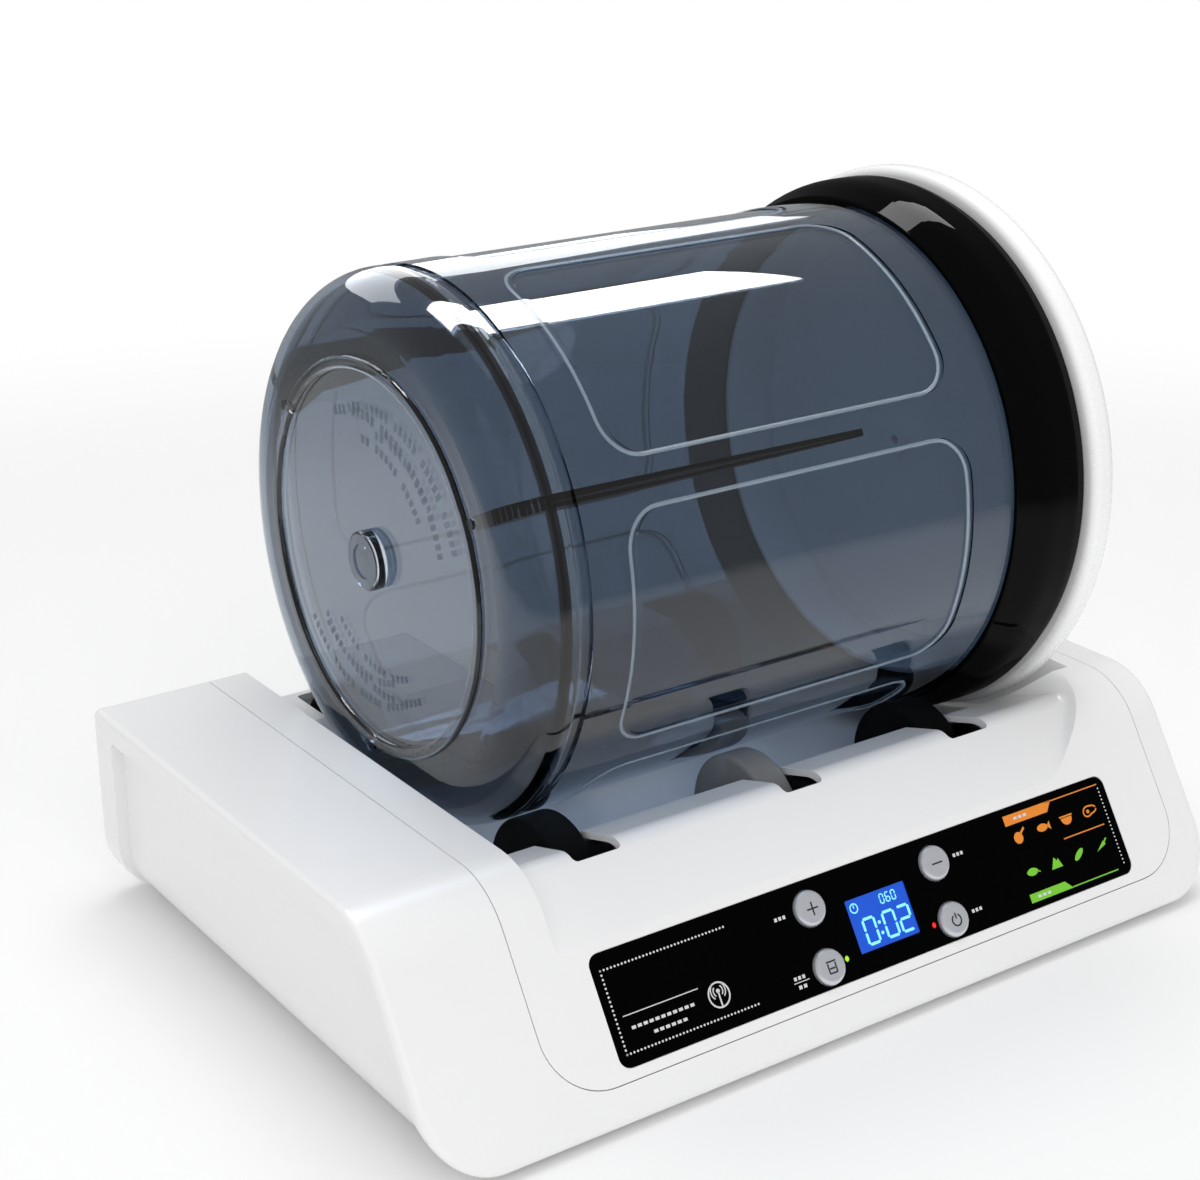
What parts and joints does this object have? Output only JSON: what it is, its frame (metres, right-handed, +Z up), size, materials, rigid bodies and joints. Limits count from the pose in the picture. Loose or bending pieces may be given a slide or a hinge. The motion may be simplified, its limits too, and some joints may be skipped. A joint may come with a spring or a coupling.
{
  "type": "meat vacuum tumbler",
  "caption": "Marinating machine: a smoky clear vacuum drum with fins, mouth ring and lid lies on powered rollers in a white base with a sloping control panel.",
  "frame": {"origin": "on the table under the middle of the whole machine", "axes": "+X along the drum from its closed end towards its lid, +Y to the back of the base, +Z up"},
  "size_m": [0.368, 0.2748, 0.275],
  "materials": {
    "shell_white": "glossy white ABS",
    "lid_white": "satin white ABS",
    "smoky_clear": "smoky blue clear plastic",
    "black_gloss": "polished black plastic",
    "black_plastic": "satin black plastic",
    "panel_black": "glossy printed film",
    "button_silver": "pearl silver",
    "lcd_glass": "blue display window",
    "lcd_blue": "lit diffuser",
    "led_red": "red lens",
    "led_green": "green lens",
    "rubber_black": "matt rubber",
    "rubber_grey": "matt grey rubber",
    "seal_silicone": "silicone",
    "zinc_steel": "zinc-plated",
    "bush_bronze": "sintered bronze",
    "gear_nylon": "natural nylon",
    "circuit_green": "solder mask"
  },
  "bodies": {
    "base": {"board_screws": "zinc_steel", "bottom_plate": "shell_white", "bottom_screws": "zinc_steel", "control_board": "circuit_green", "deck_cover": "shell_white", "front_left_bearing_block": "black_plastic", "front_right_bearing_block": "black_plastic", "gear_motor": "zinc_steel", "inlet_screws": "zinc_steel", "lcd_backlight": "lcd_blue", "lcd_module": "lcd_glass", "mode_led": "led_green", "motor_bracket": "zinc_steel", "motor_screws": "zinc_steel", "outer_shell": "shell_white", "panel_overlay": "panel_black", "power_board": "circuit_green", "power_inlet": "black_plastic", "power_led": "led_red", "pump_cradle": "rubber_black", "pump_head": "black_plastic", "pump_motor": "zinc_steel", "rear_left_bearing_block": "black_plastic", "rear_right_bearing_block": "black_plastic", "rubber_feet": "rubber_black", "shaft_bushes": "bush_bronze", "tact_switches": "black_plastic", "vacuum_hose": "seal_silicone", "vacuum_port": "black_plastic"},
    "drum": {"drum_body": "smoky_clear", "mixing_fins": "black_plastic", "fin_pins": "black_plastic", "mouth_ring": "black_gloss"},
    "front_roller_shaft": {"drive_shaft": "zinc_steel", "drive_gear": "gear_nylon", "front_roller_hubs": "black_plastic", "front_shaft_clips": "zinc_steel", "front_left_tyre": "rubber_black", "front_centre_tyre": "rubber_grey", "front_right_tyre": "rubber_black"},
    "rear_roller_shaft": {"idler_shaft": "zinc_steel", "rear_roller_hubs": "black_plastic", "rear_shaft_clips": "zinc_steel", "rear_left_tyre": "rubber_black", "rear_centre_tyre": "rubber_grey", "rear_right_tyre": "rubber_black"},
    "motor_shaft": {"motor_pinion": "gear_nylon", "motor_spindle": "zinc_steel"},
    "lid_assembly": {"lid": "lid_white", "lid_gasket": "seal_silicone", "valve_body": "lid_white"},
    "valve": {"valve_knob": "button_silver"},
    "plus_button_cap": {"plus_button": "button_silver"},
    "minus_button_cap": {"minus_button": "button_silver"},
    "mode_button_cap": {"mode_button": "button_silver"},
    "power_button_cap": {"power_button": "button_silver"}
  },
  "joints": [
    {"name": "drum_spin", "type": "hinge", "parent": "base", "child": "drum", "pos_m": [0, 0.02193, 0.1595], "axis": [1, 0, 0], "continuous": true},
    {"name": "front_shaft_spin", "type": "hinge", "parent": "base", "child": "front_roller_shaft", "pos_m": [0, -0.05007, 0.05006], "axis": [1, 0, 0], "continuous": true},
    {"name": "rear_shaft_spin", "type": "hinge", "parent": "base", "child": "rear_roller_shaft", "pos_m": [0, 0.09393, 0.05006], "axis": [1, 0, 0], "continuous": true},
    {"name": "motor_spin", "type": "hinge", "parent": "base", "child": "motor_shaft", "pos_m": [0, -0.02, 0.03911], "axis": [1, 0, 0], "continuous": true},
    {"name": "lid_turn", "type": "hinge", "parent": "drum", "child": "lid_assembly", "pos_m": [0, 0.02193, 0.1595], "axis": [1, 0, 0], "continuous": true},
    {"name": "valve_pull", "type": "slide", "parent": "lid_assembly", "child": "valve", "axis": [1, 0, 0], "range_m": [0, 0.0025]},
    {"name": "plus_press", "type": "slide", "parent": "base", "child": "plus_button_cap", "axis": [0, 0.8406, -0.5417], "range_m": [0, 0.0008], "stiffness_N_per_m": 900},
    {"name": "minus_press", "type": "slide", "parent": "base", "child": "minus_button_cap", "axis": [0, 0.8406, -0.5417], "range_m": [0, 0.0008], "stiffness_N_per_m": 900},
    {"name": "mode_press", "type": "slide", "parent": "base", "child": "mode_button_cap", "axis": [0, 0.8406, -0.5417], "range_m": [0, 0.0008], "stiffness_N_per_m": 900},
    {"name": "power_press", "type": "slide", "parent": "base", "child": "power_button_cap", "axis": [0, 0.8406, -0.5417], "range_m": [0, 0.0008], "stiffness_N_per_m": 900}
  ],
  "couplings": [
    {"joint": "front_shaft_spin", "follows": "drum_spin", "ratio": -4.0385},
    {"joint": "rear_shaft_spin", "follows": "drum_spin", "ratio": -4.0385},
    {"joint": "motor_spin", "follows": "drum_spin", "ratio": 12.115}
  ]
}
